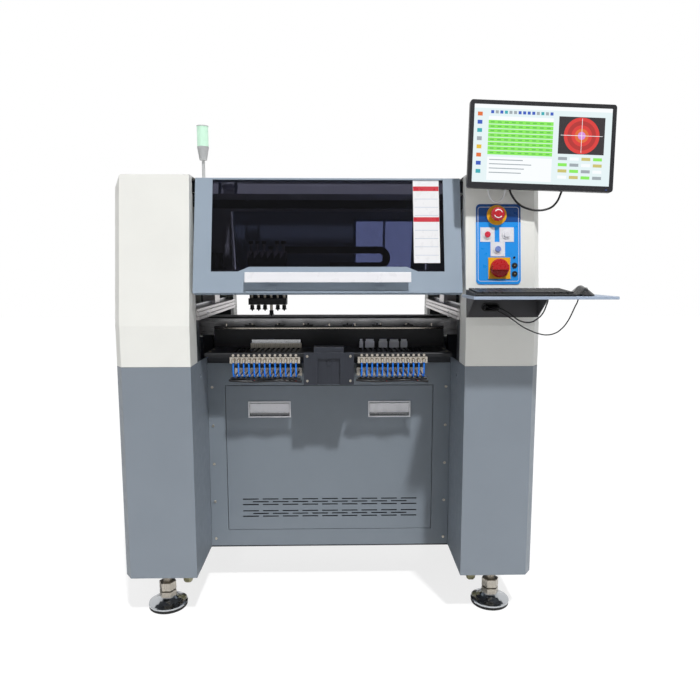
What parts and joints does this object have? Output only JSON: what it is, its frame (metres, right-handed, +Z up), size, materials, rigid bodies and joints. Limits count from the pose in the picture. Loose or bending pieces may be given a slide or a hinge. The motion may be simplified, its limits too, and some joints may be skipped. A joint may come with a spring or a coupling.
{
  "type": "pick and place machine",
  "caption": "Floor-standing pick and place machine: gantry head with vacuum nozzles under tilting hoods, feeder tables, board conveyor, operator panel, monitor and keyboard tray.",
  "frame": {"origin": "on the floor, under the middle of the whole machine's box, keyboard tray included", "axes": "+X to the right as the operator faces it, +Y from the front to the rear, +Z up"},
  "size_m": [1.4382, 1.0224, 1.5363],
  "materials": {
    "frame_paint": "fine texture powder coat",
    "grey_paint": "fine texture powder coat",
    "white_paint": "fine texture powder coat",
    "hood_paint": "fine texture powder coat",
    "smoked_acrylic": "polished",
    "handle_alloy": "anodised",
    "bed_steel": "blackened",
    "rail_alloy": "anodised",
    "black_alloy": "black anodised",
    "brass_fittings": "nickel and brass",
    "blue_tube": "smooth",
    "black_plastic": "fine texture",
    "screw_steel": "ground",
    "tower_lens": "frosted",
    "panel_blue": "satin film",
    "panel_yellow": "satin",
    "red_plastic": "satin",
    "white_plastic": "satin",
    "monitor_black": "satin",
    "tray_paint": "fine texture",
    "cable_black": "satin",
    "cable_white": "satin",
    "foot_chrome": "polished",
    "fork_steel": "zinc plated",
    "caster_tread": "smooth"
  },
  "bodies": {
    "machine": {"base_frame": "frame_paint", "left_lower_cover": "grey_paint", "right_lower_cover": "grey_paint", "left_upper_cover": "white_paint", "right_upper_cover": "white_paint", "top_panel": "white_paint", "door_surrounds": "grey_paint", "front_door": "grey_paint", "rear_door": "grey_paint", "machine_bed": "bed_steel", "y_beams": "rail_alloy", "feeder_tables": "black_alloy", "air_fittings": "brass_fittings", "feeder_tubes": "blue_tube", "centre_brackets": "black_alloy", "conveyor_fixed_rail": "black_alloy", "camera_and_nozzle_rack": "black_alloy", "light_tower": "tower_lens", "control_panel": "panel_blue", "panel_fittings": "panel_yellow", "monitor_arm": "black_alloy", "tray_bracket": "frame_paint", "keyboard_tray": "tray_paint", "keyboard": "black_plastic", "mouse": "black_plastic", "keyboard_cable": "cable_black", "mouse_cable": "cable_black", "levelling_feet": "foot_chrome", "caster_forks": "fork_steel"},
    "front_hood": {"front_hood": "hood_paint", "front_hood_window": "smoked_acrylic", "front_hood_handle": "handle_alloy"},
    "rear_hood": {"rear_hood": "hood_paint", "rear_hood_window": "smoked_acrylic"},
    "gantry": {"gantry_beam": "rail_alloy", "cable_chain": "black_plastic"},
    "head": {"head_body": "black_alloy"},
    "estop_button": {"estop_button": "red_plastic"},
    "start_button": {"start_button": "white_plastic"},
    "stop_button": {"stop_button": "red_plastic"},
    "reset_button": {"reset_button": "white_plastic"},
    "isolator_knob": {"isolator_knob": "red_plastic"},
    "monitor_bracket": {"monitor_bracket": "black_alloy"},
    "monitor": {"monitor": "monitor_black", "monitor_signal_cable": "cable_white", "monitor_power_cable": "cable_black"},
    "left_handle_flap": {"left_handle_flap": "handle_alloy"},
    "right_handle_flap": {"right_handle_flap": "handle_alloy"},
    "conveyor_moving_rail": {"conveyor_moving_rail": "black_alloy"},
    "width_screw": {"width_screw": "screw_steel"},
    "nozzle_1": {"nozzle_1": "black_alloy"},
    "nozzle_2": {"nozzle_2": "black_alloy"},
    "nozzle_3": {"nozzle_3": "black_alloy"},
    "nozzle_4": {"nozzle_4": "black_alloy"},
    "nozzle_5": {"nozzle_5": "black_alloy"},
    "nozzle_6": {"nozzle_6": "black_alloy"},
    "caster_wheel_fl": {"caster_wheel_fl": "caster_tread"},
    "caster_wheel_fr": {"caster_wheel_fr": "caster_tread"},
    "caster_wheel_rl": {"caster_wheel_rl": "caster_tread"},
    "caster_wheel_rr": {"caster_wheel_rr": "caster_tread"}
  },
  "joints": [
    {"name": "front_hood_hinge", "type": "hinge", "parent": "machine", "child": "front_hood", "pos_m": [-0.09709, -0.22911, 1.30993], "axis": [-1, 0, 0], "range_deg": [0, 75]},
    {"name": "rear_hood_hinge", "type": "hinge", "parent": "machine", "child": "rear_hood", "pos_m": [-0.09709, 0.37678, 1.30993], "axis": [1, 0, 0], "range_deg": [0, 75]},
    {"name": "gantry_travel", "type": "slide", "parent": "machine", "child": "gantry", "axis": [0, 1, 0], "range_m": [-0.2, 0.25]},
    {"name": "head_travel", "type": "slide", "parent": "gantry", "child": "head", "axis": [1, 0, 0], "range_m": [-0.09, 0.52]},
    {"name": "nozzle_1_stroke", "type": "slide", "parent": "head", "child": "nozzle_1", "axis": [0, 0, 1], "range_m": [-0.02, 0]},
    {"name": "nozzle_2_stroke", "type": "slide", "parent": "head", "child": "nozzle_2", "axis": [0, 0, 1], "range_m": [-0.02, 0]},
    {"name": "nozzle_3_stroke", "type": "slide", "parent": "head", "child": "nozzle_3", "axis": [0, 0, 1], "range_m": [-0.02, 0]},
    {"name": "nozzle_4_stroke", "type": "slide", "parent": "head", "child": "nozzle_4", "axis": [0, 0, 1], "range_m": [-0.002, 0.018]},
    {"name": "nozzle_5_stroke", "type": "slide", "parent": "head", "child": "nozzle_5", "axis": [0, 0, 1], "range_m": [-0.02, 0]},
    {"name": "nozzle_6_stroke", "type": "slide", "parent": "head", "child": "nozzle_6", "axis": [0, 0, 1], "range_m": [-0.02, 0]},
    {"name": "estop_push", "type": "slide", "parent": "machine", "child": "estop_button", "axis": [0, 0.9912, -0.1325], "range_m": [0, 0.005], "stiffness_N_per_m": 1500, "springref_m": -0.002},
    {"name": "start_push", "type": "slide", "parent": "machine", "child": "start_button", "axis": [0, 0.9912, -0.1325], "range_m": [0, 0.002], "stiffness_N_per_m": 800, "springref_m": -0.001},
    {"name": "stop_push", "type": "slide", "parent": "machine", "child": "stop_button", "axis": [0, 0.9912, -0.1325], "range_m": [0, 0.002], "stiffness_N_per_m": 800, "springref_m": -0.001},
    {"name": "reset_push", "type": "slide", "parent": "machine", "child": "reset_button", "axis": [0, 0.9912, -0.1325], "range_m": [0, 0.002], "stiffness_N_per_m": 800, "springref_m": -0.001},
    {"name": "isolator_turn", "type": "hinge", "parent": "machine", "child": "isolator_knob", "pos_m": [0.39992, -0.34903, 1.06733], "axis": [0, -0.9912, 0.1325], "range_deg": [-90, 0]},
    {"name": "monitor_pan", "type": "hinge", "parent": "machine", "child": "monitor_bracket", "pos_m": [0.50792, -0.28917, 1.405], "axis": [0, 0, 1], "range_deg": [0, 35]},
    {"name": "monitor_tilt", "type": "hinge", "parent": "monitor_bracket", "child": "monitor", "pos_m": [0.50792, -0.31117, 1.405], "axis": [1, 0, 0], "range_deg": [-10, 2]},
    {"name": "left_handle_press", "type": "hinge", "parent": "machine", "child": "left_handle_flap", "pos_m": [-0.29508, -0.12917, 0.622], "axis": [1, 0, 0], "range_deg": [0, 55], "stiffness_Nm_per_rad": 0.03, "springref_deg": -11.46},
    {"name": "right_handle_press", "type": "hinge", "parent": "machine", "child": "right_handle_flap", "pos_m": [0.10092, -0.12917, 0.622], "axis": [1, 0, 0], "range_deg": [0, 55], "stiffness_Nm_per_rad": 0.03, "springref_deg": -11.46},
    {"name": "track_width", "type": "slide", "parent": "machine", "child": "conveyor_moving_rail", "axis": [0, 1, 0], "range_m": [-0.17, 0.028]},
    {"name": "width_screw_turn", "type": "hinge", "parent": "machine", "child": "width_screw", "pos_m": [-0.09709, 0.08883, 0.86], "axis": [0, 1, 0], "range_deg": [-6200, 1100]},
    {"name": "caster_fl_roll", "type": "hinge", "parent": "machine", "child": "caster_wheel_fl", "pos_m": [-0.56708, -0.18517, 0.058], "axis": [1, 0, 0], "continuous": true},
    {"name": "caster_fr_roll", "type": "hinge", "parent": "machine", "child": "caster_wheel_fr", "pos_m": [0.37291, -0.18517, 0.058], "axis": [1, 0, 0], "continuous": true},
    {"name": "caster_rl_roll", "type": "hinge", "parent": "machine", "child": "caster_wheel_rl", "pos_m": [-0.56708, 0.33283, 0.058], "axis": [1, 0, 0], "continuous": true},
    {"name": "caster_rr_roll", "type": "hinge", "parent": "machine", "child": "caster_wheel_rr", "pos_m": [0.37291, 0.33283, 0.058], "axis": [1, 0, 0], "continuous": true}
  ],
  "couplings": [
    {"joint": "width_screw_turn", "follows": "track_width", "rad_per_m": 628.32}
  ]
}
